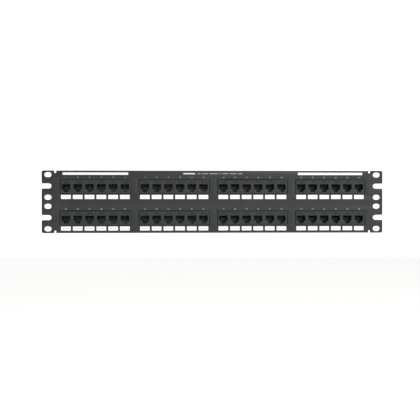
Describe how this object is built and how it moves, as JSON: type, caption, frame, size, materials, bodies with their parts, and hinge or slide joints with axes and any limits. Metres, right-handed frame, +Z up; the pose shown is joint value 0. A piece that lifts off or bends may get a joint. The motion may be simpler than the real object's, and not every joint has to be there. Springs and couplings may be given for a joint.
{
  "type": "patch panel",
  "caption": "Flat rack-mount patch panel: a folded black steel plate with slotted ears holds rows of modular-jack modules, with circuit boards and punch-down connectors behind.",
  "frame": {"origin": "middle of the panel's rear face, the plane that lies against the rack rails, at mid-width and mid-height", "axes": "+X to the right seen from the front, +Y out of the rear, +Z up"},
  "size_m": [0.4826, 0.0298, 0.0882],
  "materials": {
    "steel_panel": "fine-textured black powder coat",
    "black_plastic": "moulded, satin",
    "contact_sled": "moulded black carrier with gold-plated spring fingers",
    "green_board": "green solder mask over glass-epoxy laminate",
    "port_label": "matt white write-on fields on a black film",
    "designation_strip": "matt white write-on strip",
    "wiring_label": null
  },
  "bodies": {
    "root": {"steel_panel": "steel_panel", "jack_housing_1": "black_plastic", "contact_sled_1": "contact_sled", "circuit_board_1": "green_board", "idc_upper_1": "black_plastic", "idc_lower_1": "black_plastic", "wiring_label_1": "wiring_label", "port_label_1": "port_label", "jack_housing_2": "black_plastic", "contact_sled_2": "contact_sled", "circuit_board_2": "green_board", "idc_upper_2": "black_plastic", "idc_lower_2": "black_plastic", "wiring_label_2": "wiring_label", "port_label_2": "port_label", "jack_housing_3": "black_plastic", "contact_sled_3": "contact_sled", "circuit_board_3": "green_board", "idc_upper_3": "black_plastic", "idc_lower_3": "black_plastic", "wiring_label_3": "wiring_label", "port_label_3": "port_label", "jack_housing_4": "black_plastic", "contact_sled_4": "contact_sled", "circuit_board_4": "green_board", "idc_upper_4": "black_plastic", "idc_lower_4": "black_plastic", "wiring_label_4": "wiring_label", "port_label_4": "port_label", "jack_housing_5": "black_plastic", "contact_sled_5": "contact_sled", "circuit_board_5": "green_board", "idc_upper_5": "black_plastic", "idc_lower_5": "black_plastic", "wiring_label_5": "wiring_label", "port_label_5": "port_label", "jack_housing_6": "black_plastic", "contact_sled_6": "contact_sled", "circuit_board_6": "green_board", "idc_upper_6": "black_plastic", "idc_lower_6": "black_plastic", "wiring_label_6": "wiring_label", "port_label_6": "port_label", "jack_housing_7": "black_plastic", "contact_sled_7": "contact_sled", "circuit_board_7": "green_board", "idc_upper_7": "black_plastic", "idc_lower_7": "black_plastic", "wiring_label_7": "wiring_label", "port_label_7": "port_label", "jack_housing_8": "black_plastic", "contact_sled_8": "contact_sled", "circuit_board_8": "green_board", "idc_upper_8": "black_plastic", "idc_lower_8": "black_plastic", "wiring_label_8": "wiring_label", "port_label_8": "port_label", "designation_strip_left": "designation_strip", "designation_strip_right": "designation_strip"}
  },
  "joints": []
}
